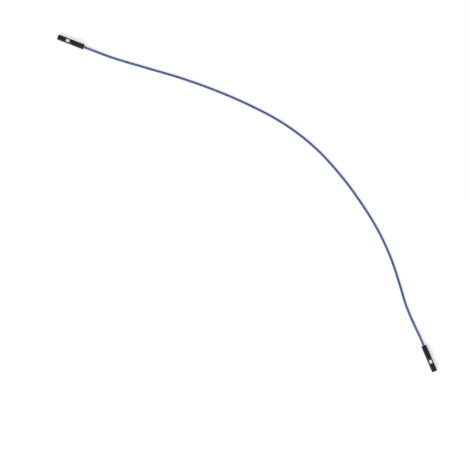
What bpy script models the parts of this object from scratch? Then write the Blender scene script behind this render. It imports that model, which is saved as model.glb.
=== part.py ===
"""Breadboard jumper wire with a single female crimp connector on each end.

Metres, +Z up. The origin lies on the surface that the wire rests on, under the middle of
the box around the two connectors. The wire lies in a loose bow between them.

A connector is modelled along its own X axis, from its mating face at x = 0 back to the
wire, with its latch window up (+Z) and the wire's axis at y = z = 0.
"""

import math

import bmesh
import bpy
from mathutils import Matrix, Vector

MM = 0.001

# Wire: seven tinned copper strands in a PVC jacket
INSULATION_DIAMETER = 1.20 * MM
STRAND_DIAMETER = 0.16 * MM
OUTER_STRANDS = 6
STRAND_GAP = 0.02 * MM
BORE_GAP = 0.02 * MM
STRAND_LAY = 40.0 * MM
INSULATION_RESOLUTION = 2
STRAND_RESOLUTION = 1
WIRE_SEGMENTS = 74
SPLINE_STEPS = 24

# Housing: one position, 2.54 mm pitch, moulded nylon
PITCH = 2.54 * MM
HOUSING_LENGTH = 14.0 * MM
HOUSING_WALL = 0.32 * MM
HOUSING_EDGE = 0.10 * MM
FRONT_WALL = 0.65 * MM
PIN_ENTRY = 1.00 * MM
PIN_FUNNEL = 1.60 * MM
MOUTH_CHAMFER = 0.14 * MM

# Latch: a moulded tongue in the top wall, with a window ahead of its free end
WINDOW_LENGTH = 2.00 * MM
TONGUE_LENGTH = 4.40 * MM
TONGUE_WIDTH = 1.10 * MM
TONGUE_THICKNESS = 0.28 * MM
TONGUE_SLIT = 0.20 * MM
TONGUE_DIP = 0.30 * MM
TONGUE_ROOT_OVERLAP = 0.40 * MM
TONGUE_SKIN = 0.02 * MM
LATCH_NUB_LENGTH = 0.45 * MM
LATCH_NUB_REACH = 0.27 * MM

# Terminal: one stamped and folded sheet
SHEET = 0.20 * MM
SIDE_CLEARANCE = 0.08 * MM
FRONT_CLEARANCE = 0.10 * MM
LATCH_CLEARANCE = 0.15 * MM
CRIMP_CLEARANCE = 0.03 * MM
BOX_LENGTH = 5.50 * MM
BOX_LEAD_IN = 0.20 * MM
BOX_LEAD_IN_DEPTH = 0.04 * MM
BOX_BEND_RADIUS = 0.20 * MM
SEAM = 0.06 * MM
NECK_LENGTH = 1.35 * MM
NECK_SIDE_HEIGHT = 0.80 * MM
CONDUCTOR_BARREL_LENGTH = 2.10 * MM
BELLMOUTH_LENGTH = 0.20 * MM
BELLMOUTH_FLARE = 0.05 * MM
CRIMP_HUMP_RADIUS = 0.20 * MM
CRIMP_HUMP_RISE = 0.16 * MM
CRIMP_HUMP_SWEEP = math.radians(115)
STEP_LENGTH = 0.50 * MM
BARREL_SPACING = 0.90 * MM
INSULATION_BARREL_LENGTH = 1.90 * MM
CUTOFF_TAB_LENGTH = 0.30 * MM

# Contact beams: a cantilever cut in each side wall of the box and bent inwards
BEAM_LENGTH = 3.05 * MM
BEAM_WIDTH = 0.56 * MM
BEAM_TIP_WIDTH = 0.40 * MM
BEAM_SLOT = 0.14 * MM
BEAM_TIP_SLOT = 0.35 * MM
BEAM_ROOT_LENGTH = 1.25 * MM
BEAM_TIP_LENGTH = 0.65 * MM
BEAM_TIP_FLARE = 0.16 * MM
BEAM_STEPS = 3
CONTACT_GAP = 0.42 * MM

# Where the wire's ends lie in the terminals
STRAND_TIP_PROUD = 0.30 * MM
INSULATION_SETBACK = 0.10 * MM

# Lay of the wire: each connector's mating face centre and its heading towards the wire
CONNECTOR_A_FACE = (-97.02 * MM, 85.46 * MM)
CONNECTOR_A_HEADING = math.radians(-21.3)
CONNECTOR_B_FACE = (96.31 * MM, -86.14 * MM)
CONNECTOR_B_HEADING = math.radians(113.1)
STRAIGHT_RUN = 3.0 * MM
DROP_RUN = 14.0 * MM
FLOOR_CLEARANCE = 0.02 * MM

# Points that the wire passes over between the connectors, in millimetres, chosen by hand
ROUTE_MM = (
    (-69.5, 75.0),
    (-52.5, 69.9),
    (-34.5, 64.6),
    (-16.5, 58.2),
    (1.5, 50.4),
    (19.2, 40.8),
    (35.0, 28.6),
    (48.3, 14.2),
    (59.2, -0.6),
    (67.9, -14.9),
    (74.2, -28.8),
    (78.6, -42.0),
    (82.2, -53.6),
)

# Mesh work: points nearer than this are one, and edges sharper than this stay creased
JOIN_DISTANCE = 0.001 * MM
CREASE_ANGLE = math.radians(40)

# Sizes that follow from the ones above
CAVITY_HALF = PITCH / 2 - HOUSING_WALL
BUNDLE_RADIUS = STRAND_DIAMETER * 1.5 + STRAND_GAP
INSULATION_SIDES = 4 + 2 * INSULATION_RESOLUTION
FLAT_OF_ROUND = math.cos(math.pi / INSULATION_SIDES)
INSULATION_WALL = INSULATION_DIAMETER / 2 * FLAT_OF_ROUND - BUNDLE_RADIUS - BORE_GAP
BOX_HALF = CAVITY_HALF - SIDE_CLEARANCE - SHEET / 2
TERMINAL_FRONT = FRONT_WALL + FRONT_CLEARANCE
BOX_END = TERMINAL_FRONT + BOX_LENGTH
SLOT_END = BOX_END - BEAM_ROOT_LENGTH
SLOT_FRONT = SLOT_END - BEAM_LENGTH - BEAM_TIP_SLOT
CONDUCTOR_BARREL_FRONT = BOX_END + NECK_LENGTH
CONDUCTOR_BARREL_END = CONDUCTOR_BARREL_FRONT + CONDUCTOR_BARREL_LENGTH
CONDUCTOR_BARREL_RADIUS = BUNDLE_RADIUS + CRIMP_CLEARANCE + SHEET / 2
INSULATION_BARREL_FRONT = CONDUCTOR_BARREL_END + BARREL_SPACING
INSULATION_BARREL_END = INSULATION_BARREL_FRONT + INSULATION_BARREL_LENGTH
INSULATION_BARREL_RADIUS = INSULATION_DIAMETER / 2 + CRIMP_CLEARANCE + SHEET / 2
TONGUE_FRONT = BOX_END + LATCH_CLEARANCE
TONGUE_ROOT = TONGUE_FRONT + TONGUE_LENGTH
WINDOW_FRONT = TONGUE_FRONT - WINDOW_LENGTH
STRAND_END = CONDUCTOR_BARREL_FRONT - STRAND_TIP_PROUD
INSULATION_END = CONDUCTOR_BARREL_END + STEP_LENGTH + INSULATION_SETBACK
AXIS_HEIGHT = PITCH / 2
LAY_HEIGHT = INSULATION_DIAMETER / 2 + FLOOR_CLEARANCE

# Columns of the terminal's half section, counted from the middle of its floor to its seam:
# a bend is BEND_POINTS of them, and the four between the two bends are the beam's edges and
# the outer edges of its slot
BEND_POINTS = 4
COLUMNS = 2 * BEND_POINTS + 6
SLOT_LOW_COLUMN = BEND_POINTS + 1
BEAM_LOW_COLUMN = SLOT_LOW_COLUMN + 1
BEAM_HIGH_COLUMN = BEAM_LOW_COLUMN + 1
SLOT_HIGH_COLUMN = BEAM_HIGH_COLUMN + 1
LAST_COLUMN = COLUMNS - 1
NECK_COLUMN = BEAM_HIGH_COLUMN
STEP_COLUMN = SLOT_LOW_COLUMN
TAB_COLUMN = 1


def clear_scene():
    for item in list(bpy.data.objects):
        bpy.data.objects.remove(item, do_unlink=True)


def add_collection(name):
    collection = bpy.data.collections.new(name)
    bpy.context.scene.collection.children.link(collection)
    return collection


def add_material(name, colour, roughness, metallic=0.0):
    material = bpy.data.materials.new(name)
    material.use_nodes = True
    shader = material.node_tree.nodes["Principled BSDF"]
    shader.inputs["Base Color"].default_value = (*colour, 1.0)
    shader.inputs["Roughness"].default_value = roughness
    shader.inputs["Metallic"].default_value = metallic
    material.diffuse_color = (*colour, 1.0)
    return material


def add_object(name, data, collection, material=None):
    item = bpy.data.objects.new(name, data)
    collection.objects.link(item)
    if material:
        data.materials.append(material)
    return item


def add_cutter(name, mesh, collection):
    cutter = add_object(name, mesh, collection)
    cutter.hide_render = True
    cutter.display_type = "WIRE"
    return cutter


def block_mesh(name, low, high):
    """A box between two opposite corners."""
    low, high = Vector(low), Vector(high)
    shape = bmesh.new()
    bmesh.ops.create_cube(shape, size=1.0)
    bmesh.ops.scale(shape, vec=high - low, verts=shape.verts)
    bmesh.ops.translate(shape, vec=(low + high) / 2, verts=shape.verts)
    mesh = bpy.data.meshes.new(name)
    shape.to_mesh(mesh)
    shape.free()
    return mesh


def funnel_mesh(name, small_x, small_width, large_x, large_width):
    """A square frustum along X, for a lead-in cut in a face."""
    shape = bmesh.new()
    bmesh.ops.create_cone(
        shape,
        cap_ends=True,
        segments=4,
        radius1=small_width / math.sqrt(2),
        radius2=large_width / math.sqrt(2),
        depth=abs(large_x - small_x),
    )
    upright = Matrix.Rotation(math.radians(45), 4, "Z")
    side = math.copysign(90, large_x - small_x)
    along_x = Matrix.Rotation(math.radians(side), 4, "Y")
    middle = Matrix.Translation(((small_x + large_x) / 2, 0, 0))
    bmesh.ops.transform(shape, matrix=middle @ along_x @ upright, verts=shape.verts)
    mesh = bpy.data.meshes.new(name)
    shape.to_mesh(mesh)
    shape.free()
    return mesh


def profile_mesh(name, outline, half_width):
    """A flat outline in X and Z, extruded to both sides along Y."""
    curve = bpy.data.curves.new(name, "CURVE")
    curve.dimensions = "2D"
    curve.fill_mode = "BOTH"
    curve.extrude = half_width
    spline = curve.splines.new("POLY")
    spline.points.add(len(outline) - 1)
    for point, (x, z) in zip(spline.points, outline):
        point.co = (x, z, 0, 1)
    spline.use_cyclic_u = True
    helper = bpy.data.objects.new(name, curve)
    bpy.context.scene.collection.objects.link(helper)
    mesh = read_mesh(helper)
    bpy.data.objects.remove(helper)
    shape = bmesh.new()
    shape.from_mesh(mesh)
    bmesh.ops.remove_doubles(shape, verts=shape.verts, dist=JOIN_DISTANCE)
    bmesh.ops.rotate(shape, matrix=Matrix.Rotation(math.radians(90), 3, "X"), verts=shape.verts)
    bmesh.ops.recalc_face_normals(shape, faces=shape.faces)
    shape.to_mesh(mesh)
    shape.free()
    return mesh


def read_mesh(item):
    """The object's mesh with its modifiers applied."""
    bpy.context.view_layer.update()
    evaluated = item.evaluated_get(bpy.context.evaluated_depsgraph_get())
    return bpy.data.meshes.new_from_object(evaluated)


def combine(target, tool, operation):
    modifier = target.modifiers.new(tool.name, "BOOLEAN")
    modifier.operation = operation
    modifier.solver = "EXACT"
    modifier.object = tool


def tongue_outline():
    """Side view of the latch tongue: flush at its root, dipped behind the terminal's box."""
    root_top = PITCH / 2 - TONGUE_SKIN
    root_under = root_top - TONGUE_THICKNESS
    tip_top = root_top - TONGUE_DIP
    tip_under = tip_top - TONGUE_THICKNESS
    nub_under = BOX_HALF + SHEET / 2 - LATCH_NUB_REACH
    nub_back = TONGUE_FRONT + LATCH_NUB_LENGTH
    root_end = TONGUE_ROOT + TONGUE_ROOT_OVERLAP
    return (
        (TONGUE_FRONT, tip_top),
        (TONGUE_FRONT, nub_under),
        (nub_back, nub_under),
        (nub_back + LATCH_NUB_LENGTH, max(tip_under, nub_under)),
        (TONGUE_ROOT, root_under),
        (root_end, root_under),
        (root_end, root_top),
        (TONGUE_ROOT, root_top),
    )


def housing_mesh(cutters):
    half = PITCH / 2
    beyond = HOUSING_WALL
    block = block_mesh("housing_shell", (0, -half, -half), (HOUSING_LENGTH, half, half))
    shell = add_object("housing_shell", block, cutters)
    edge = shell.modifiers.new("edge", "BEVEL")
    edge.width = HOUSING_EDGE
    edge.segments = 2

    cavity = block_mesh(
        "cavity",
        (FRONT_WALL, -CAVITY_HALF, -CAVITY_HALF),
        (HOUSING_LENGTH + beyond, CAVITY_HALF, CAVITY_HALF),
    )
    pin_entry = block_mesh(
        "pin_entry",
        (-beyond, -PIN_ENTRY / 2, -PIN_ENTRY / 2),
        (FRONT_WALL + beyond, PIN_ENTRY / 2, PIN_ENTRY / 2),
    )
    funnel_depth = (PIN_FUNNEL - PIN_ENTRY) / 2
    pin_funnel = funnel_mesh(
        "pin_funnel",
        funnel_depth,
        PIN_ENTRY,
        -beyond,
        PIN_FUNNEL + 2 * beyond,
    )
    mouth = funnel_mesh(
        "mouth",
        HOUSING_LENGTH - MOUTH_CHAMFER,
        2 * CAVITY_HALF,
        HOUSING_LENGTH + beyond,
        2 * (CAVITY_HALF + MOUTH_CHAMFER + beyond),
    )
    slot_half = TONGUE_WIDTH / 2 + TONGUE_SLIT
    latch_slot = block_mesh(
        "latch_slot",
        (WINDOW_FRONT, -slot_half, CAVITY_HALF - beyond),
        (TONGUE_ROOT, slot_half, half + beyond),
    )
    for mesh in (cavity, pin_entry, pin_funnel, mouth, latch_slot):
        combine(shell, add_cutter(mesh.name, mesh, cutters), "DIFFERENCE")

    tongue = profile_mesh("tongue", tongue_outline(), TONGUE_WIDTH / 2)
    combine(shell, add_cutter("tongue", tongue, cutters), "UNION")
    mesh = read_mesh(shell)
    for item in list(cutters.objects):
        bpy.data.objects.remove(item, do_unlink=True)
    return mesh


def arc(centre_y, centre_z, radius, start, sweep, count):
    """Points on an arc, first and last included, angles from +Y towards +Z."""
    steps = max(count - 1, 1)
    return [
        (
            centre_y + radius * math.cos(start + sweep * step / steps),
            centre_z + radius * math.sin(start + sweep * step / steps),
        )
        for step in range(count)
    ]


def box_section(inset=0.0):
    """Half section of the box, from the middle of its floor up to the seam in its top."""
    half = BOX_HALF - inset
    bend = BOX_BEND_RADIUS
    slot_z = BEAM_WIDTH / 2 + BEAM_SLOT
    low_bend = arc(half - bend, bend - half, bend, -math.pi / 2, math.pi / 2, BEND_POINTS)
    side = [(half, z) for z in (-slot_z, -BEAM_WIDTH / 2, BEAM_WIDTH / 2, slot_z)]
    top_bend = arc(half - bend, half - bend, bend, 0, math.pi / 2, BEND_POINTS)
    return [(0, -half), *low_bend, *side, *top_bend, (SEAM / 2, half)]


def neck_section():
    """The box's floor with its sides cut down, clear of the latch."""
    section = box_section()
    section[NECK_COLUMN] = (BOX_HALF, NECK_SIDE_HEIGHT - BOX_HALF)
    return section


def conductor_barrel_section(flare=0.0):
    """Half section of the conductor crimp: a round floor and a wing rolled over the strands."""
    radius = CONDUCTOR_BARREL_RADIUS + flare
    hump_y = radius - CRIMP_HUMP_RADIUS
    floor = arc(0, 0, radius, -math.pi / 2, math.pi / 2, COLUMNS // 2)
    wing = arc(hump_y, CRIMP_HUMP_RISE, CRIMP_HUMP_RADIUS, 0, CRIMP_HUMP_SWEEP, COLUMNS // 2)
    return [*floor, *wing]


def insulation_barrel_section():
    """Half section of the insulation crimp, a wing wrapped round to a seam on top."""
    radius = INSULATION_BARREL_RADIUS
    opening = math.asin(SEAM / 2 / radius)
    return arc(0, 0, radius, -math.pi / 2, math.pi - opening, COLUMNS)


def terminal_stations():
    """Sections along the terminal: x, half section and the last column that goes on from it."""
    return [
        (TERMINAL_FRONT, box_section(BOX_LEAD_IN_DEPTH), LAST_COLUMN),
        (TERMINAL_FRONT + BOX_LEAD_IN, box_section(), LAST_COLUMN),
        (SLOT_FRONT, box_section(), LAST_COLUMN),
        (SLOT_END, box_section(), LAST_COLUMN),
        (BOX_END, box_section(), NECK_COLUMN),
        (BOX_END + NECK_LENGTH / 2, neck_section(), NECK_COLUMN),
        (CONDUCTOR_BARREL_FRONT, conductor_barrel_section(BELLMOUTH_FLARE), LAST_COLUMN),
        (CONDUCTOR_BARREL_FRONT + BELLMOUTH_LENGTH, conductor_barrel_section(), LAST_COLUMN),
        (CONDUCTOR_BARREL_END - BELLMOUTH_LENGTH, conductor_barrel_section(), LAST_COLUMN),
        (CONDUCTOR_BARREL_END, conductor_barrel_section(BELLMOUTH_FLARE), STEP_COLUMN),
        (CONDUCTOR_BARREL_END + STEP_LENGTH, insulation_barrel_section(), STEP_COLUMN),
        (INSULATION_BARREL_FRONT, insulation_barrel_section(), LAST_COLUMN),
        (INSULATION_BARREL_END, insulation_barrel_section(), TAB_COLUMN),
        (INSULATION_BARREL_END + CUTOFF_TAB_LENGTH, insulation_barrel_section(), -1),
    ]


def beam_line():
    """Contact beam from its root forward: x, distance from the middle plane, and width."""
    tip_x = SLOT_END - BEAM_LENGTH
    contact_x = tip_x + BEAM_TIP_LENGTH
    contact_y = (CONTACT_GAP + SHEET) / 2
    line = []
    for step in range(1, BEAM_STEPS + 1):
        share = step / BEAM_STEPS
        ease = share * share * (3 - 2 * share)
        x = SLOT_END + (contact_x - SLOT_END) * share
        y = BOX_HALF + (contact_y - BOX_HALF) * ease
        line.append((x, y, BEAM_WIDTH))
    line.append((tip_x, contact_y + BEAM_TIP_FLARE, BEAM_TIP_WIDTH))
    return line


def terminal_mesh(helpers):
    """The folded sheet: a loft of its middle surface, thickened to the sheet's gauge."""
    shape = bmesh.new()
    stations = terminal_stations()
    slot_row = [x for x, _, _ in stations].index(SLOT_FRONT)
    rows = []
    for x, section, _ in stations:
        left = [shape.verts.new((x, -y, z)) for y, z in section[:0:-1]]
        right = [shape.verts.new((x, y, z)) for y, z in section]
        rows.append(left + right)

    for row, (_, _, last) in enumerate(stations[:-1]):
        for column in range(LAST_COLUMN - last, LAST_COLUMN + last):
            inner = min(abs(column - LAST_COLUMN), abs(column + 1 - LAST_COLUMN))
            if row == slot_row and SLOT_LOW_COLUMN <= inner < SLOT_HIGH_COLUMN:
                continue
            near, far = rows[row], rows[row + 1]
            shape.faces.new((near[column], near[column + 1], far[column + 1], far[column]))

    root = rows[slot_row + 1]
    for side in (-1, 1):
        low = root[LAST_COLUMN + side * BEAM_LOW_COLUMN]
        high = root[LAST_COLUMN + side * BEAM_HIGH_COLUMN]
        for x, y, width in beam_line():
            next_low = shape.verts.new((x, side * y, -width / 2))
            next_high = shape.verts.new((x, side * y, width / 2))
            shape.faces.new((low, high, next_high, next_low))
            low, high = next_low, next_high

    loose = [vert for vert in shape.verts if not vert.link_faces]
    bmesh.ops.delete(shape, geom=loose, context="VERTS")
    bmesh.ops.recalc_face_normals(shape, faces=shape.faces)
    mesh = bpy.data.meshes.new("terminal_sheet")
    shape.to_mesh(mesh)
    shape.free()

    sheet = add_object("terminal_sheet", mesh, helpers)
    gauge = sheet.modifiers.new("gauge", "SOLIDIFY")
    gauge.thickness = SHEET
    gauge.offset = 0
    gauge.use_even_offset = True
    mesh = read_mesh(sheet)
    bpy.data.objects.remove(sheet, do_unlink=True)
    mesh.shade_smooth()
    mesh.set_sharp_from_angle(angle=CREASE_ANGLE)
    return mesh


def connector_point(face, heading, x):
    """World point on a connector's axis, x back from its mating face."""
    return Vector((face[0] + x * math.cos(heading), face[1] + x * math.sin(heading), AXIS_HEIGHT))


def spline_point(before, start, end, after, share):
    """Centripetal Catmull-Rom point between start and end."""
    times = [0.0]
    for one, two in ((before, start), (start, end), (end, after)):
        times.append(times[-1] + math.sqrt((two - one).length))
    time = times[1] + (times[2] - times[1]) * share

    def mix(one, two, one_time, two_time):
        return one.lerp(two, (time - one_time) / (two_time - one_time))

    first = mix(before, start, times[0], times[1])
    second = mix(start, end, times[1], times[2])
    third = mix(end, after, times[2], times[3])
    left = mix(first, second, times[0], times[2])
    right = mix(second, third, times[1], times[3])
    return mix(left, right, times[1], times[2])


def ride_height(distance):
    """Height of the wire's axis at a distance outside the nearer connector."""
    share = min(max((distance - STRAIGHT_RUN) / DROP_RUN, 0.0), 1.0)
    ease = share * share * (3 - 2 * share)
    return AXIS_HEIGHT + (LAY_HEIGHT - AXIS_HEIGHT) * ease


def free_line():
    """Evenly spaced points of the wire's axis between the two connectors' rear faces."""
    ends = ((CONNECTOR_A_FACE, CONNECTOR_A_HEADING), (CONNECTOR_B_FACE, CONNECTOR_B_HEADING))
    inside_a, inside_b = (connector_point(*end, INSULATION_END) for end in ends)
    rear_a, rear_b = (connector_point(*end, HOUSING_LENGTH) for end in ends)
    lead_a, lead_b = (connector_point(*end, HOUSING_LENGTH + STRAIGHT_RUN) for end in ends)
    route = [Vector((x * MM, y * MM, AXIS_HEIGHT)) for x, y in ROUTE_MM]
    knots = [inside_a, rear_a, lead_a, *route, lead_b, rear_b, inside_b]

    fine = []
    for index in range(1, len(knots) - 2):
        span = knots[index - 1 : index + 3]
        fine += [spline_point(*span, step / SPLINE_STEPS) for step in range(SPLINE_STEPS)]
    fine.append(rear_b)

    distances = [0.0]
    for one, two in zip(fine, fine[1:]):
        distances.append(distances[-1] + (two - one).length)
    total = distances[-1]
    points = []
    index = 0
    for step in range(WIRE_SEGMENTS + 1):
        wanted = total * step / WIRE_SEGMENTS
        while index < len(fine) - 2 and distances[index + 1] < wanted:
            index += 1
        share = (wanted - distances[index]) / (distances[index + 1] - distances[index])
        point = fine[index].lerp(fine[index + 1], share)
        point.z = ride_height(min(wanted, total - wanted))
        points.append(point)
    return points


def wire_line(end_inset):
    """The wire's axis with its ends at the given insets from the two mating faces."""
    start = connector_point(CONNECTOR_A_FACE, CONNECTOR_A_HEADING, end_inset)
    end = connector_point(CONNECTOR_B_FACE, CONNECTOR_B_HEADING, end_inset)
    return [start, *free_line(), end]


def add_tube(name, points, radius, resolution, capped, collection, material):
    curve = bpy.data.curves.new(name, "CURVE")
    curve.dimensions = "3D"
    curve.bevel_depth = radius
    curve.bevel_resolution = resolution
    curve.use_fill_caps = capped
    spline = curve.splines.new("POLY")
    spline.points.add(len(points) - 1)
    for point, place in zip(spline.points, points):
        point.co = (*place, 1)
    spline.use_smooth = True
    return add_object(name, curve, collection, material)


def add_insulation(collection, material):
    jacket = add_tube(
        "wire_insulation",
        wire_line(INSULATION_END),
        INSULATION_DIAMETER / 2,
        INSULATION_RESOLUTION,
        False,
        collection,
        material,
    )
    bore = jacket.modifiers.new("bore", "SOLIDIFY")
    bore.thickness = INSULATION_WALL
    bore.offset = -1
    bore.use_even_offset = True


def strand_line(axis, lay_radius, phase):
    """A strand's path, twisted round the wire's axis at the lay radius."""
    points = []
    travelled = 0.0
    for index, point in enumerate(axis):
        before = axis[max(index - 1, 0)]
        after = axis[min(index + 1, len(axis) - 1)]
        travelled += (point - before).length
        tangent = (after - before).normalized()
        side = Vector((0, 0, 1)).cross(tangent).normalized()
        up = tangent.cross(side)
        turn = phase + 2 * math.pi * travelled / STRAND_LAY
        points.append(point + (side * math.cos(turn) + up * math.sin(turn)) * lay_radius)
    return points


def add_strands(collection, material):
    axis = wire_line(STRAND_END)
    lines = [axis]
    for number in range(OUTER_STRANDS):
        phase = 2 * math.pi * number / OUTER_STRANDS
        lines.append(strand_line(axis, STRAND_DIAMETER + STRAND_GAP, phase))
    for number, line in enumerate(lines, start=1):
        add_tube(
            f"copper_strand_{number}",
            line,
            STRAND_DIAMETER / 2,
            STRAND_RESOLUTION,
            True,
            collection,
            material,
        )


def add_connector(letter, face, heading, meshes, collection):
    """A housing and its terminal, carried by an empty at the mating face."""
    frame = bpy.data.objects.new(f"connector_{letter}", None)
    frame.location = (*face, AXIS_HEIGHT)
    frame.rotation_euler = (0, 0, heading)
    collection.objects.link(frame)
    for name, mesh in meshes:
        piece = bpy.data.objects.new(f"{name}_{letter}", mesh)
        piece.parent = frame
        collection.objects.link(piece)


def main():
    clear_scene()
    parts = add_collection("jumper_wire")
    cutters = add_collection("cutters")
    blue_pvc = add_material("blue_pvc", (0.004, 0.060, 0.250), 0.25)
    tinned_copper = add_material("tinned_copper", (0.80, 0.78, 0.74), 0.30, 1.0)
    black_nylon = add_material("black_nylon", (0.010, 0.010, 0.011), 0.50)
    tin_plate = add_material("tin_plate", (0.78, 0.78, 0.76), 0.28, 1.0)

    housing = housing_mesh(cutters)
    housing.materials.append(black_nylon)
    terminal = terminal_mesh(cutters)
    terminal.materials.append(tin_plate)
    meshes = (("housing", housing), ("crimp_terminal", terminal))
    add_connector("a", CONNECTOR_A_FACE, CONNECTOR_A_HEADING, meshes, parts)
    add_connector("b", CONNECTOR_B_FACE, CONNECTOR_B_HEADING, meshes, parts)
    add_insulation(parts, blue_pvc)
    add_strands(parts, tinned_copper)
    bpy.context.view_layer.update()


main()
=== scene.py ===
"""Looks of a breadboard jumper wire: a blue wire with a black single connector on each end.

Metres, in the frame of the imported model: +Z up, the wire lying on the floor at z = 0. The
sizes repeat the construction's, so that each dressed piece sits where its solid is. A
connector's own frame has X from its mating face back to the wire and its latch window up.
"""

import math
import random

import bmesh
import bpy
from mathutils import Matrix, Vector, noise


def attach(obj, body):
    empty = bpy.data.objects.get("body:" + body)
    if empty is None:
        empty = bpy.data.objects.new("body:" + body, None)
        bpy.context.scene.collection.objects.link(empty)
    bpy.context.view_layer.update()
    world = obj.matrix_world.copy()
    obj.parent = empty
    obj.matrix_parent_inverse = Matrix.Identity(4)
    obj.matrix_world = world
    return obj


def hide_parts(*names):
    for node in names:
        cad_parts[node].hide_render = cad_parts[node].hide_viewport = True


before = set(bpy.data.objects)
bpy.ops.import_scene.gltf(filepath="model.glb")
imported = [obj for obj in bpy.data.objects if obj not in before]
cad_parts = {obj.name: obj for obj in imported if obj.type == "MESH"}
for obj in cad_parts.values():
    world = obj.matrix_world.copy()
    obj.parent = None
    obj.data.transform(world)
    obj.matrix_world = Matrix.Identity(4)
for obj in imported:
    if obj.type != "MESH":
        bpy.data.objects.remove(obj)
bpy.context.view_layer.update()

MM = 0.001
WORLD_UP = Vector((0, 0, 1))
ENDS = ("a", "b")

# Wire: its strands are twisted more tightly here than in the construction
INSULATION_DIAMETER = 1.20 * MM
STRAND_DIAMETER = 0.16 * MM
OUTER_STRANDS = 6
STRAND_GAP = 0.02 * MM
BORE_GAP = 0.02 * MM
STRAND_LAY = 12.0 * MM
BUNDLE_RADIUS = STRAND_DIAMETER * 1.5 + STRAND_GAP
BORE_RADIUS = BUNDLE_RADIUS + BORE_GAP

# Housing
PITCH = 2.54 * MM
HOUSING_LENGTH = 14.0 * MM
HOUSING_WALL = 0.32 * MM
AXIS_HEIGHT = PITCH / 2

# Terminal
SHEET = 0.20 * MM
SIDE_CLEARANCE = 0.08 * MM
CRIMP_CLEARANCE = 0.03 * MM
TERMINAL_FRONT = 0.75 * MM
BOX_LENGTH = 5.50 * MM
BOX_HALF = PITCH / 2 - HOUSING_WALL - SIDE_CLEARANCE - SHEET / 2
BOX_BEND_RADIUS = 0.20 * MM
BOX_LEAD_IN = 0.20 * MM
BOX_LEAD_IN_DEPTH = 0.04 * MM
SEAM = 0.06 * MM
NECK_LENGTH = 1.35 * MM
NECK_SIDE_HEIGHT = 0.80 * MM
CONDUCTOR_BARREL_LENGTH = 2.10 * MM
CONDUCTOR_BARREL_RADIUS = BUNDLE_RADIUS + CRIMP_CLEARANCE + SHEET / 2
BELLMOUTH_LENGTH = 0.20 * MM
BELLMOUTH_FLARE = 0.05 * MM
CRIMP_HUMP_RADIUS = 0.20 * MM
CRIMP_HUMP_RISE = 0.16 * MM
CRIMP_HUMP_SWEEP = math.radians(115)
STEP_LENGTH = 0.50 * MM
BARREL_SPACING = 0.90 * MM
INSULATION_BARREL_LENGTH = 1.90 * MM
INSULATION_BARREL_RADIUS = INSULATION_DIAMETER / 2 + CRIMP_CLEARANCE + SHEET / 2
CUTOFF_TAB_LENGTH = 0.30 * MM

# Contact beams
BEAM_LENGTH = 3.05 * MM
BEAM_WIDTH = 0.56 * MM
BEAM_TIP_WIDTH = 0.40 * MM
BEAM_SLOT = 0.14 * MM
BEAM_TIP_SLOT = 0.35 * MM
BEAM_ROOT_LENGTH = 1.25 * MM
BEAM_TIP_LENGTH = 0.65 * MM
BEAM_TIP_FLARE = 0.16 * MM
CONTACT_GAP = 0.42 * MM

# Places along a connector, from its mating face, and how far the strands and jacket reach
BOX_END = TERMINAL_FRONT + BOX_LENGTH
SLOT_END = BOX_END - BEAM_ROOT_LENGTH
SLOT_FRONT = SLOT_END - BEAM_LENGTH - BEAM_TIP_SLOT
CONDUCTOR_BARREL_FRONT = BOX_END + NECK_LENGTH
CONDUCTOR_BARREL_END = CONDUCTOR_BARREL_FRONT + CONDUCTOR_BARREL_LENGTH
INSULATION_BARREL_FRONT = CONDUCTOR_BARREL_END + BARREL_SPACING
INSULATION_BARREL_END = INSULATION_BARREL_FRONT + INSULATION_BARREL_LENGTH
STRAND_TIP_PROUD = 0.30 * MM
STRAND_TIP_SCATTER = 0.06 * MM
INSULATION_SETBACK = 0.10 * MM
STRAND_END = CONDUCTOR_BARREL_FRONT - STRAND_TIP_PROUD
INSULATION_END = CONDUCTOR_BARREL_END + STEP_LENGTH + INSULATION_SETBACK

# Lay of the wire: each connector's mating face centre and its heading towards the wire
FACES = ((-97.02 * MM, 85.46 * MM), (96.31 * MM, -86.14 * MM))
HEADINGS = (math.radians(-21.3), math.radians(113.1))
STRAIGHT_RUN = 3.0 * MM
DROP_RUN = 14.0 * MM
FLOOR_CLEARANCE = 0.02 * MM
LAY_HEIGHT = INSULATION_DIAMETER / 2 + FLOOR_CLEARANCE

# Points that the wire passes over between the connectors, in millimetres
ROUTE_MM = (
    (-69.5, 75.0),
    (-52.5, 69.9),
    (-34.5, 64.6),
    (-16.5, 58.2),
    (1.5, 50.4),
    (19.2, 40.8),
    (35.0, 28.6),
    (48.3, 14.2),
    (59.2, -0.6),
    (67.9, -14.9),
    (74.2, -28.8),
    (78.6, -42.0),
    (82.2, -53.6),
)
SPLINE_STEPS = 60

# Jacket and strands, finer than the solids they stand for
JACKET_SIDES = 32
JACKET_SPACING = 0.5 * MM
JACKET_CUT_EDGE = 0.03 * MM
STRAND_SIDES = 12
STRAND_SPACING = 0.6 * MM
STRAND_CUT_EDGE = 0.02 * MM
CREASE_ANGLE = math.radians(50)

# Swell of the jacket, as a share of its radius: two waves of noise, less an inset
JACKET_RIPPLE = 0.006
RIPPLE_INSET = 0.5
SLOW_WAVE = 9.0 * MM
SLOW_SHARE = 0.7
QUICK_WAVE = 2.3 * MM
QUICK_SHARE = 0.3
QUICK_ROW = 5

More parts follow.
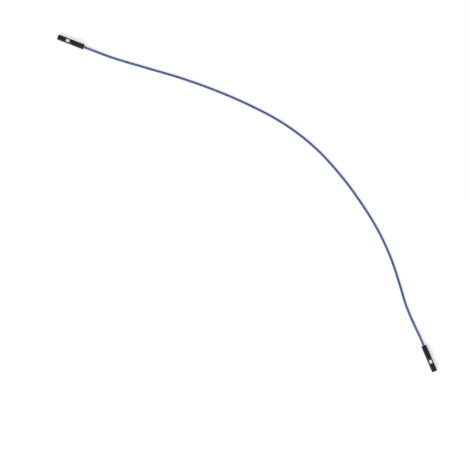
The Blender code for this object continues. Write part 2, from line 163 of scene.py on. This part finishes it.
# Columns of the terminal's half section, from the middle of its floor to its seam
FLOOR_POINTS = 5
BEND_POINTS = 7
TOP_POINTS = 4
SLOT_LOW_COLUMN = FLOOR_POINTS + BEND_POINTS
BEAM_LOW_COLUMN = SLOT_LOW_COLUMN + 1
BEAM_HIGH_COLUMN = BEAM_LOW_COLUMN + 1
SLOT_HIGH_COLUMN = BEAM_HIGH_COLUMN + 1
COLUMNS = SLOT_HIGH_COLUMN + 1 + BEND_POINTS + TOP_POINTS
LAST_COLUMN = COLUMNS - 1
NECK_COLUMN = BEAM_HIGH_COLUMN
STEP_COLUMN = SLOT_LOW_COLUMN - 1
TAB_COLUMN = 2
WING_POINTS = COLUMNS - NECK_COLUMN
BEAM_STEPS = 12
BEAM_TIP_STEPS = 6

# Small radii on the edges of the terminals and housings
EDGE_ANGLE = math.radians(60)
SHEARED_EDGE = 0.025 * MM
SHEARED_SEGMENTS = 2
MOULD_RADIUS = 0.035 * MM
MOULD_SEGMENTS = 3
WELD_DISTANCE = 0.001 * MM
FLAT_ANGLE = math.radians(1)

# Materials: a place that isn't stretched, and the values that noise mostly lies between
LAID_STRAIGHT = "laid_straight"
EVEN = (1, 1, 1)
NOISE_LOW = 0.3
NOISE_HIGH = 0.7

# Photograph: its size in pixels, the size of a pixel on the floor, and the origin's pixel
PICTURE = 470
PIXEL = 0.515 * MM
ORIGIN_PIXEL = (247.0, 203.5)

# Camera: its height over the floor, and its sensor's width in millimetres
CAMERA_HEIGHT = 0.52
SENSOR = 36.0

# Light: a softbox square to the wire's run, so that its streak lies along the whole wire
KEY_AZIMUTH = math.radians(225)
KEY_TILT = math.radians(38)
KEY_DISTANCE = 1.6
KEY_SIZE = (0.90, 0.70)
KEY_POWER = 19.0
WHITE = (1.0, 1.0, 1.0, 1.0)
FILL_COLOUR = (0.97, 0.985, 1.0, 1.0)
FILL_LEVEL = 0.40

# Floor: its paper, and how far from the origin it starts to turn and has turned plain white
FLOOR_RADIUS = 8.0
FLOOR_SIDES = 96
PAPER_COLOUR = (0.45, 0.45, 0.45, 1.0)
PAPER_LIFT = 0.62
WHITE_FROM = 0.30
WHITE_BY = 0.75


def connector_matrix(end):
    """From a connector's own frame to the row frame."""
    place = Matrix.Translation((*FACES[end], AXIS_HEIGHT))
    return place @ Matrix.Rotation(HEADINGS[end], 4, "Z")


def connector_point(end, x):
    """A point on a connector's axis, x behind its mating face."""
    return connector_matrix(end) @ Vector((x, 0, 0))


def spline_point(before, start, end, after, share):
    """Centripetal Catmull-Rom point between start and end."""
    times = [0.0]
    for one, two in ((before, start), (start, end), (end, after)):
        times.append(times[-1] + math.sqrt((two - one).length))
    time = times[1] + (times[2] - times[1]) * share

    def mix(one, two, one_time, two_time):
        return one.lerp(two, (time - one_time) / (two_time - one_time))

    first = mix(before, start, times[0], times[1])
    second = mix(start, end, times[1], times[2])
    third = mix(end, after, times[2], times[3])
    left = mix(first, second, times[0], times[2])
    right = mix(second, third, times[1], times[3])
    return mix(left, right, times[1], times[2])


def ease(share):
    """From 0 to 1, slow at both ends."""
    share = min(max(share, 0.0), 1.0)
    return share * share * (3 - 2 * share)


def distances_along(points):
    """Each point's distance along the line from its start."""
    distances = [0.0]
    for one, two in zip(points, points[1:]):
        distances.append(distances[-1] + (two - one).length)
    return distances


def spaced(points, spacing):
    """The line again, with points evenly about the spacing apart."""
    distances = distances_along(points)
    count = math.ceil(distances[-1] / spacing)
    line = []
    index = 0
    for step in range(count + 1):
        wanted = distances[-1] * step / count
        while index < len(points) - 2 and distances[index + 1] < wanted:
            index += 1
        share = (wanted - distances[index]) / (distances[index + 1] - distances[index])
        line.append(points[index].lerp(points[index + 1], share))
    return line


def wire_axis(end_inset, spacing):
    """The wire's axis, its ends at the given inset from the two mating faces."""
    inside_a, inside_b = (connector_point(end, INSULATION_END) for end in (0, 1))
    rear_a, rear_b = (connector_point(end, HOUSING_LENGTH) for end in (0, 1))
    lead_a, lead_b = (connector_point(end, HOUSING_LENGTH + STRAIGHT_RUN) for end in (0, 1))
    route = [Vector((x * MM, y * MM, AXIS_HEIGHT)) for x, y in ROUTE_MM]
    knots = [inside_a, rear_a, lead_a, *route, lead_b, rear_b, inside_b]
    free = []
    for index in range(1, len(knots) - 2):
        span = knots[index - 1 : index + 3]
        free += [spline_point(*span, step / SPLINE_STEPS) for step in range(SPLINE_STEPS)]
    free.append(rear_b)

    distances = distances_along(free)
    for point, distance in zip(free, distances):
        nearer = min(distance, distances[-1] - distance)
        drop = ease((nearer - STRAIGHT_RUN) / DROP_RUN)
        point.z = AXIS_HEIGHT + (LAY_HEIGHT - AXIS_HEIGHT) * drop
    return spaced([connector_point(0, end_inset), *free, connector_point(1, end_inset)], spacing)


def directions(line, index):
    """Unit vectors along a line, to its side and up."""
    tangent = line[min(index + 1, len(line) - 1)] - line[max(index - 1, 0)]
    tangent.normalize()
    side = WORLD_UP.cross(tangent).normalized()
    return tangent, side, tangent.cross(side)


def new_object(name, mesh, material):
    """A smooth-shaded object in the scene."""
    item = bpy.data.objects.new(name, mesh)
    bpy.context.scene.collection.objects.link(item)
    mesh.materials.append(material)
    mesh.shade_smooth()
    return item


def skin(name, rings, laid_straight, closed):
    """A skin over rings of points, joined in a loop or capped at both ends.

    laid_straight holds, for each point, where it would be if the wire lay straight along X,
    for grain and streaks that follow the wire.
    """
    shape = bmesh.new()
    loops = [[shape.verts.new(point) for point in ring] for ring in rings]
    pairs = list(zip(loops, loops[1:]))
    if closed:
        pairs.append((loops[-1], loops[0]))
    for near, far in pairs:
        for index, point in enumerate(near):
            after = (index + 1) % len(near)
            shape.faces.new((point, near[after], far[after], far[index]))
    if not closed:
        shape.faces.new(loops[0])
        shape.faces.new(loops[-1])
    bmesh.ops.recalc_face_normals(shape, faces=shape.faces)
    mesh = bpy.data.meshes.new(name)
    shape.to_mesh(mesh)
    shape.free()
    places = mesh.attributes.new(LAID_STRAIGHT, "FLOAT_VECTOR", "POINT")
    places.data.foreach_set("vector", [value for point in laid_straight for value in point])
    return mesh


def tube_ring(line, index, along, radius, sides, forward):
    """One ring round a line, and the same ring with the wire laid straight."""
    tangent, side, up = directions(line, index)
    centre = line[index] + tangent * forward
    ring, straight = [], []
    for step in range(sides):
        angle = 2 * math.pi * step / sides
        across = math.cos(angle) * radius
        rise = math.sin(angle) * radius
        ring.append(centre + side * across + up * rise)
        straight.append((along + forward, across, rise))
    return ring, straight


def cut_stations(radii, edge):
    """Stations of a rod with cut ends: an index on its line, a radius and a shift forward."""
    last = len(radii) - 1
    return [
        (0, radii[0] - edge, 0.0),
        (0, radii[0], edge),
        *((index, radii[index], 0.0) for index in range(1, last)),
        (last, radii[last], -edge),
        (last, radii[last] - edge, 0.0),
    ]


def tube(name, line, spacing, stations, sides, closed, material):
    """A tube through the stations along a line, with sharp creases at its cut ends."""
    rings, straight = [], []
    for index, radius, forward in stations:
        ring, laid = tube_ring(line, index, index * spacing, radius, sides, forward)
        rings.append(ring)
        straight.extend(laid)
    item = new_object(name, skin(name, rings, straight, closed), material)
    item.data.set_sharp_from_angle(angle=CREASE_ANGLE)
    return item


def jacket_radius(along):
    """Outer radius: an extruded jacket swells and thins by under a hundredth."""
    slow = SLOW_SHARE * noise.noise(Vector((along / SLOW_WAVE, 0, 0)))
    quick = QUICK_SHARE * noise.noise(Vector((along / QUICK_WAVE, QUICK_ROW, 0)))
    return INSULATION_DIAMETER / 2 * (1 + JACKET_RIPPLE * (slow + quick - RIPPLE_INSET))


def wire_jacket(material):
    """The PVC jacket: a tube with cut ends, its bore open for the strands."""
    line = wire_axis(INSULATION_END, JACKET_SPACING)
    radii = [jacket_radius(index * JACKET_SPACING) for index in range(len(line))]
    stations = cut_stations(radii, JACKET_CUT_EDGE)
    stations += [(index, BORE_RADIUS, 0.0) for index in reversed(range(len(line)))]
    jacket = tube("wire_jacket", line, JACKET_SPACING, stations, JACKET_SIDES, True, material)
    return jacket, line


def fine_strand(number, material):
    """A tinned strand: the first runs straight, the others are twisted round it."""
    dice = random.Random(number)
    scatter = dice.uniform(-STRAND_TIP_SCATTER, STRAND_TIP_SCATTER)
    line = wire_axis(STRAND_END + scatter, STRAND_SPACING)
    spacing = (line[1] - line[0]).length
    phase = 2 * math.pi * (number - 2) / OUTER_STRANDS
    lay_radius = 0.0 if number == 1 else STRAND_DIAMETER + STRAND_GAP
    path = []
    for index, point in enumerate(line):
        _, side, up = directions(line, index)
        turn = phase + 2 * math.pi * index * spacing / STRAND_LAY
        path.append(point + (side * math.cos(turn) + up * math.sin(turn)) * lay_radius)
    stations = cut_stations([STRAND_DIAMETER / 2] * len(path), STRAND_CUT_EDGE)
    return tube(f"fine_strand_{number}", path, spacing, stations, STRAND_SIDES, False, material)


def arc(centre_y, centre_z, radius, start, sweep, count):
    """Points on an arc, first and last included, angles from +Y towards +Z."""
    return [
        (
            centre_y + radius * math.cos(start + sweep * step / (count - 1)),
            centre_z + radius * math.sin(start + sweep * step / (count - 1)),
        )
        for step in range(count)
    ]


def box_section(inset=0.0):
    """Half section of the box, from the middle of its floor up to the seam in its top."""
    half = BOX_HALF - inset
    flat = half - BOX_BEND_RADIUS
    slot_z = BEAM_WIDTH / 2 + BEAM_SLOT
    floor = [(flat * step / FLOOR_POINTS, -half) for step in range(FLOOR_POINTS)]
    low_bend = arc(flat, -flat, BOX_BEND_RADIUS, -math.pi / 2, math.pi / 2, BEND_POINTS)
    side = [(half, z) for z in (-slot_z, -BEAM_WIDTH / 2, BEAM_WIDTH / 2, slot_z)]
    top_bend = arc(flat, flat, BOX_BEND_RADIUS, 0, math.pi / 2, BEND_POINTS)
    run = flat - SEAM / 2
    top = [(flat - run * step / TOP_POINTS, half) for step in range(1, TOP_POINTS + 1)]
    return [*floor, *low_bend, *side, *top_bend, *top]


def neck_section():
    """The box's floor with its sides cut down, clear of the latch."""
    section = box_section()
    section[NECK_COLUMN] = (BOX_HALF, NECK_SIDE_HEIGHT - BOX_HALF)
    return section


def conductor_barrel_section(flare=0.0):
    """Half section of the conductor crimp: a round floor and a wing rolled over the strands."""
    radius = CONDUCTOR_BARREL_RADIUS + flare
    hump_y = radius - CRIMP_HUMP_RADIUS
    floor = arc(0, 0, radius, -math.pi / 2, math.pi / 2, NECK_COLUMN)
    wing = arc(hump_y, CRIMP_HUMP_RISE, CRIMP_HUMP_RADIUS, 0, CRIMP_HUMP_SWEEP, WING_POINTS)
    return [*floor, *wing]


def insulation_barrel_section():
    """Half section of the insulation crimp, a wing wrapped round to a seam on top."""
    radius = INSULATION_BARREL_RADIUS
    opening = math.asin(SEAM / 2 / radius)
    return arc(0, 0, radius, -math.pi / 2, math.pi - opening, COLUMNS)


def terminal_stations():
    """Rows of the terminal's sheet, from its front to its rear.

    A row is its x, its half section, the last column that goes on to the next row, and
    whether the beams are cut free there. Each key has the steps that lead to the next key
    before that last value.
    """
    mouth, box, neck = box_section(BOX_LEAD_IN_DEPTH), box_section(), neck_section()
    bell, barrel = conductor_barrel_section(BELLMOUTH_FLARE), conductor_barrel_section()
    grip = insulation_barrel_section()
    keys = [
        (TERMINAL_FRONT, mouth, LAST_COLUMN, 4, False),
        (TERMINAL_FRONT + BOX_LEAD_IN, box, LAST_COLUMN, 1, False),
        (SLOT_FRONT, box, LAST_COLUMN, 1, True),
        (SLOT_END, box, LAST_COLUMN, 1, False),
        (BOX_END, box, NECK_COLUMN, 6, False),
        (BOX_END + NECK_LENGTH / 2, neck, NECK_COLUMN, 6, False),
        (CONDUCTOR_BARREL_FRONT, bell, LAST_COLUMN, 4, False),
        (CONDUCTOR_BARREL_FRONT + BELLMOUTH_LENGTH, barrel, LAST_COLUMN, 2, False),
        (CONDUCTOR_BARREL_END - BELLMOUTH_LENGTH, barrel, LAST_COLUMN, 4, False),
        (CONDUCTOR_BARREL_END, bell, STEP_COLUMN, 6, False),
        (CONDUCTOR_BARREL_END + STEP_LENGTH, grip, STEP_COLUMN, 1, False),
        (INSULATION_BARREL_FRONT, grip, LAST_COLUMN, 2, False),
        (INSULATION_BARREL_END, grip, TAB_COLUMN, 1, False),
        (INSULATION_BARREL_END + CUTOFF_TAB_LENGTH, grip, 0, 0, False),
    ]
    rows = []
    for (x, section, last, steps, slotted), (next_x, next_section, *_) in zip(keys, keys[1:]):
        for step in range(steps):
            share = step / steps
            blend = ease(share)
            blended = [
                (y + (next_y - y) * blend, z + (next_z - z) * blend)
                for (y, z), (next_y, next_z) in zip(section, next_section)
            ]
            rows.append((x + (next_x - x) * share, blended, last, slotted))
    rows.append((*keys[-1][:3], False))
    return rows


def beam_line():
    """Contact beam from its root forward: x, distance from the middle plane, and width."""
    tip_x = SLOT_END - BEAM_LENGTH
    contact_x = tip_x + BEAM_TIP_LENGTH
    contact_y = (CONTACT_GAP + SHEET) / 2
    line = []
    for step in range(1, BEAM_STEPS + 1):
        share = step / BEAM_STEPS
        x = SLOT_END + (contact_x - SLOT_END) * share
        line.append((x, BOX_HALF + (contact_y - BOX_HALF) * ease(share), BEAM_WIDTH))
    for step in range(1, BEAM_TIP_STEPS + 1):
        share = step / BEAM_TIP_STEPS
        width = BEAM_WIDTH + (BEAM_TIP_WIDTH - BEAM_WIDTH) * share * share
        x = contact_x + (tip_x - contact_x) * share
        line.append((x, contact_y + BEAM_TIP_FLARE * share**1.5, width))
    return line


def terminal_sheet():
    """Middle surface of the folded sheet, in the connector's own frame."""
    shape = bmesh.new()
    stations = terminal_stations()
    rows = []
    for x, section, _, _ in stations:
        left = [shape.verts.new((x, -y, z)) for y, z in section[:0:-1]]
        right = [shape.verts.new((x, y, z)) for y, z in section]
        rows.append(left + right)

    root = None
    for row, (_, _, last, slotted) in enumerate(stations[:-1]):
        near, far = rows[row], rows[row + 1]
        for column in range(LAST_COLUMN - last, LAST_COLUMN + last):
            inner = min(abs(column - LAST_COLUMN), abs(column + 1 - LAST_COLUMN))
            if slotted and SLOT_LOW_COLUMN <= inner < SLOT_HIGH_COLUMN:
                continue
            shape.faces.new((near[column], near[column + 1], far[column + 1], far[column]))
        if slotted:
            root = far

    for side in (-1, 1):
        low = root[LAST_COLUMN + side * BEAM_LOW_COLUMN]
        high = root[LAST_COLUMN + side * BEAM_HIGH_COLUMN]
        for x, y, width in beam_line():
            next_low = shape.verts.new((x, side * y, -width / 2))
            next_high = shape.verts.new((x, side * y, width / 2))
            shape.faces.new((low, high, next_high, next_low))
            low, high = next_low, next_high

    loose = [vert for vert in shape.verts if not vert.link_faces]
    bmesh.ops.delete(shape, geom=loose, context="VERTS")
    bmesh.ops.recalc_face_normals(shape, faces=shape.faces)
    mesh = bpy.data.meshes.new("formed_terminal")
    shape.to_mesh(mesh)
    shape.free()
    return mesh


def round_edges(item, name, width, segments):
    """A small radius on every edge that turns by more than EDGE_ANGLE."""
    edges = item.modifiers.new(name, "BEVEL")
    edges.width = width
    edges.segments = segments
    edges.limit_method = "ANGLE"
    edges.angle_limit = EDGE_ANGLE
    return edges


def formed_terminal(end, material):
    """The folded sheet at its gauge, with the slightly rounded edges that shearing leaves."""
    terminal = new_object(f"formed_terminal_{ENDS[end]}", terminal_sheet(), material)
    terminal.matrix_world = connector_matrix(end)
    gauge = terminal.modifiers.new("gauge", "SOLIDIFY")
    gauge.thickness = SHEET
    gauge.offset = 0
    gauge.use_even_offset = True
    edges = round_edges(terminal, "sheared_edges", SHEARED_EDGE, SHEARED_SEGMENTS)
    edges.harden_normals = True
    return terminal


def dress_housing(end, material):
    """The housing's own solid, with the small mould radii that its cut edges have."""
    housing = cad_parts[f"housing_{ENDS[end]}"]
    housing.data.materials.clear()
    housing.data.materials.append(material)
    weld = housing.modifiers.new("weld", "WELD")
    weld.merge_threshold = WELD_DISTANCE
    flats = housing.modifiers.new("flats", "DECIMATE")
    flats.decimate_type = "DISSOLVE"
    flats.angle_limit = FLAT_ANGLE
    round_edges(housing, "mould_radii", MOULD_RADIUS, MOULD_SEGMENTS)


def new_material(name, colour, roughness, specular=0.5, metallic=0.0):
    """A material and its shader, with the values that it starts from."""
    material = bpy.data.materials.new(name)
    material.use_nodes = True
    material.diffuse_color = (*colour, 1.0)
    shader = material.node_tree.nodes["Principled BSDF"]
    shader.inputs["Base Color"].default_value = (*colour, 1.0)
    shader.inputs["Roughness"].default_value = roughness
    shader.inputs["Specular IOR Level"].default_value = specular
    shader.inputs["Metallic"].default_value = metallic
    return material, shader


def add_node(owner, kind, **values):
    """A node in a material or world, with its settings and the values of its sockets."""
    node = owner.node_tree.nodes.new(kind)
    for name, value in values.items():
        if name in node.inputs:
            node.inputs[name].default_value = value
        else:
            setattr(node, name, value)
    return node


def link(owner, source, target):
    """Join two sockets of a material or world."""
    owner.node_tree.links.new(source, target)


def surface_place(material, stretch, attribute=None):
    """Where a point lies on the piece, scaled along each axis by stretch."""
    if attribute:
        place = add_node(material, "ShaderNodeAttribute", attribute_name=attribute)
        source = place.outputs["Vector"]
    else:
        place = add_node(material, "ShaderNodeTexCoord")
        source = place.outputs["Object"]
    mapping = add_node(material, "ShaderNodeMapping", Scale=stretch)
    link(material, source, mapping.inputs["Vector"])
    return mapping.outputs["Vector"]


def grain(material, place, scale, detail=3.0):
    """Noise over a place; on an unstretched one, its scale is in repeats per metre."""
    noise_node = add_node(material, "ShaderNodeTexNoise", Scale=scale, Detail=detail)
    link(material, place, noise_node.inputs["Vector"])
    return noise_node.outputs["Fac"]


def vary_roughness(material, shader, source, low, high):
    """Roughness from low to high as the noise of the source rises."""
    spread = add_node(material, "ShaderNodeMapRange")
    spread.inputs["From Min"].default_value = NOISE_LOW
    spread.inputs["From Max"].default_value = NOISE_HIGH
    spread.inputs["To Min"].default_value = low
    spread.inputs["To Max"].default_value = high
    link(material, source, spread.inputs["Value"])
    link(material, spread.outputs["Result"], shader.inputs["Roughness"])


def vary_colour(material, shader, source, dark, pale):
    """Colour from dark to pale as the noise of the source rises."""
    ramp = add_node(material, "ShaderNodeValToRGB")
    ramp.color_ramp.elements[0].position = NOISE_LOW
    ramp.color_ramp.elements[0].color = (*dark, 1.0)
    ramp.color_ramp.elements[1].position = NOISE_HIGH
    ramp.color_ramp.elements[1].color = (*pale, 1.0)
    link(material, source, ramp.inputs["Fac"])
    link(material, ramp.outputs["Color"], shader.inputs["Base Color"])


def add_bump(material, shader, layers):
    """Bumps laid over each other; a layer is its height source, height and strength."""
    before = None
    for source, height, strength in layers:
        bump = add_node(material, "ShaderNodeBump", Distance=height, Strength=strength)
        link(material, source, bump.inputs["Height"])
        if before:
            link(material, before, bump.inputs["Normal"])
        before = bump.outputs["Normal"]
    link(material, before, shader.inputs["Normal"])


def blue_pvc():
    """Glossy extruded PVC: fine lines drawn along the wire by the die, and a soft mottle."""
    material, shader = new_material("blue_pvc", (0.003, 0.054, 0.235), 0.16, specular=0.36)
    along = surface_place(material, (60, 5200, 5200), LAID_STRAIGHT)
    even = surface_place(material, EVEN, LAID_STRAIGHT)
    lines = grain(material, along, scale=1.0, detail=2.0)
    mottle = grain(material, even, scale=420.0)
    fine = grain(material, even, scale=5200.0)
    vary_colour(material, shader, mottle, dark=(0.002, 0.048, 0.209), pale=(0.004, 0.060, 0.261))
    vary_roughness(material, shader, mottle, low=0.12, high=0.20)
    add_bump(material, shader, ((lines, 0.008 * MM, 0.15), (fine, 0.004 * MM, 0.25)))
    return material


def tinned_copper():
    """Bright drawn wire, with the lines of the die along it."""
    material, shader = new_material("tinned_copper", (0.80, 0.78, 0.74), 0.30, metallic=1.0)
    along = surface_place(material, (250, 20000, 20000), LAID_STRAIGHT)
    drawn = grain(material, along, scale=1.0, detail=2.0)
    vary_colour(material, shader, drawn, dark=(0.70, 0.67, 0.62), pale=(0.86, 0.84, 0.80))
    vary_roughness(material, shader, drawn, low=0.22, high=0.40)
    add_bump(material, shader, ((drawn, 0.003 * MM, 0.4),))
    return material


def black_nylon():
    """Satin moulded nylon with the fine grain of a spark-eroded mould."""
    material, shader = new_material("black_nylon", (0.0070, 0.0070, 0.0075), 0.38, specular=0.20)
    even = surface_place(material, EVEN)
    mottle = grain(material, even, scale=900.0)
    fine = grain(material, even, scale=9000.0, detail=4.0)
    dark, pale = (0.0060, 0.0060, 0.0065), (0.0080, 0.0080, 0.0085)
    vary_colour(material, shader, mottle, dark, pale)
    vary_roughness(material, shader, mottle, low=0.34, high=0.42)
    add_bump(material, shader, ((fine, 0.012 * MM, 0.7),))
    return material


def tin_plate():
    """Bright tin on rolled bronze sheet, with rolling lines along the terminal."""
    material, shader = new_material("tin_plate", (0.80, 0.80, 0.78), 0.25, metallic=1.0)
    along = surface_place(material, (300, 14000, 14000))
    even = surface_place(material, EVEN)
    rolled = grain(material, along, scale=1.0, detail=3.0)
    mottle = grain(material, even, scale=2600.0)
    vary_colour(material, shader, mottle, dark=(0.70, 0.70, 0.68), pale=(0.87, 0.87, 0.86))
    vary_roughness(material, shader, rolled, low=0.16, high=0.34)
    add_bump(material, shader, ((rolled, 0.004 * MM, 0.35), (mottle, 0.006 * MM, 0.25)))
    return material


def seen_directly(owner):
    """One for rays from the camera, mirror reflections and light through clear pieces."""
    path = add_node(owner, "ShaderNodeLightPath")
    total = path.outputs["Is Camera Ray"]
    for name in ("Is Glossy Ray", "Is Transmission Ray"):
        larger = add_node(owner, "ShaderNodeMath", operation="MAXIMUM")
        link(owner, total, larger.inputs[0])
        link(owner, path.outputs[name], larger.inputs[1])
        total = larger.outputs["Value"]
    return total


def mix_shaders(owner, share, first, second):
    """The first shader where share is 0 and the second where it is 1."""
    mix = add_node(owner, "ShaderNodeMixShader")
    link(owner, share, mix.inputs["Fac"])
    link(owner, first, mix.inputs[1])
    link(owner, second, mix.inputs[2])
    return mix.outputs["Shader"]


def add_world():
    """White where it is seen, and a softer fill where it lights the object."""
    world = bpy.data.worlds.new("studio")
    bpy.context.scene.world = world
    world.use_nodes = True
    nodes = world.node_tree.nodes
    fill = nodes["Background"]
    fill.inputs["Color"].default_value = FILL_COLOUR
    fill.inputs["Strength"].default_value = FILL_LEVEL
    white = add_node(world, "ShaderNodeBackground", Color=WHITE, Strength=1.0)
    mixed = mix_shaders(
        world, seen_directly(world), fill.outputs["Background"], white.outputs["Background"]
    )
    link(world, mixed, nodes["World Output"].inputs["Surface"])


def floor_material():
    """Paper that keeps the wire's shadow where it is seen, and turns plain white further off."""
    material = bpy.data.materials.new("floor")
    material.use_nodes = True
    nodes = material.node_tree.nodes
    nodes.remove(nodes["Principled BSDF"])
    paper = add_node(material, "ShaderNodeBsdfDiffuse", Color=PAPER_COLOUR)
    lift = add_node(material, "ShaderNodeEmission", Color=WHITE, Strength=PAPER_LIFT)
    lifted = add_node(material, "ShaderNodeAddShader")
    link(material, paper.outputs["BSDF"], lifted.inputs[0])
    link(material, lift.outputs["Emission"], lifted.inputs[1])
    white = add_node(material, "ShaderNodeEmission", Color=WHITE, Strength=1.0)

    place = add_node(material, "ShaderNodeTexCoord")
    distance = add_node(material, "ShaderNodeVectorMath", operation="LENGTH")
    link(material, place.outputs["Object"], distance.inputs[0])
    far = add_node(material, "ShaderNodeMapRange", interpolation_type="SMOOTHSTEP")
    far.inputs["From Min"].default_value = WHITE_FROM
    far.inputs["From Max"].default_value = WHITE_BY
    link(material, distance.outputs["Value"], far.inputs["Value"])

    seen = mix_shaders(
        material, far.outputs["Result"], lifted.outputs["Shader"], white.outputs["Emission"]
    )
    either = mix_shaders(material, seen_directly(material), paper.outputs["BSDF"], seen)
    link(material, either, nodes["Material Output"].inputs["Surface"])
    return material


def add_floor():
    """A wide pale disc under the wire."""
    bpy.ops.mesh.primitive_circle_add(vertices=FLOOR_SIDES, radius=FLOOR_RADIUS, fill_type="NGON")
    floor = bpy.context.object
    floor.name = "floor"
    floor.data.materials.append(floor_material())


def add_softbox(target):
    """One lamp, aimed at the target from its azimuth and its tilt from upright."""
    light = bpy.data.lights.new("key", "AREA")
    light.shape = "RECTANGLE"
    light.size, light.size_y = KEY_SIZE
    light.energy = KEY_POWER
    lamp = bpy.data.objects.new("key", light)
    bpy.context.scene.collection.objects.link(lamp)
    lamp.visible_camera = False
    turn = Matrix.Rotation(KEY_AZIMUTH, 4, "Z") @ Matrix.Rotation(KEY_TILT, 4, "Y")
    lamp.matrix_world = Matrix.Translation(target) @ turn @ Matrix.Translation((0, 0, KEY_DISTANCE))


def picture_point(x, y):
    """The floor's point at a pixel of the photograph."""
    return Vector(((x - ORIGIN_PIXEL[0]) * PIXEL, (ORIGIN_PIXEL[1] - y) * PIXEL, 0.0))


def add_camera():
    """Straight above the middle of the picture, as the photograph was taken.

    Returns the point on the floor that it looks at.
    """
    middle = picture_point(PICTURE / 2, PICTURE / 2)
    data = bpy.data.cameras.new("camera")
    data.sensor_width = SENSOR
    data.lens = SENSOR * CAMERA_HEIGHT / (PICTURE * PIXEL)
    camera = bpy.data.objects.new("camera", data)
    camera.location = middle + Vector((0, 0, CAMERA_HEIGHT))
    bpy.context.scene.collection.objects.link(camera)
    bpy.context.scene.camera = camera
    return middle


def main():
    pvc, copper, nylon, tin = blue_pvc(), tinned_copper(), black_nylon(), tin_plate()
    for number in range(1, OUTER_STRANDS + 2):
        strand = fine_strand(number, copper)
        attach(strand, "root")
        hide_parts(f"copper_strand_{number}")

    jacket, line = wire_jacket(pvc)
    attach(jacket, "root")
    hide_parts("wire_insulation")

    for end in range(len(ENDS)):
        terminal = formed_terminal(end, tin)
        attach(terminal, "root")
        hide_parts(f"crimp_terminal_{ENDS[end]}")
        dress_housing(end, nylon)

    middle = add_camera()
    add_world()
    add_floor()
    add_softbox(middle)
    bpy.context.scene.view_settings.view_transform = "Standard"


main()
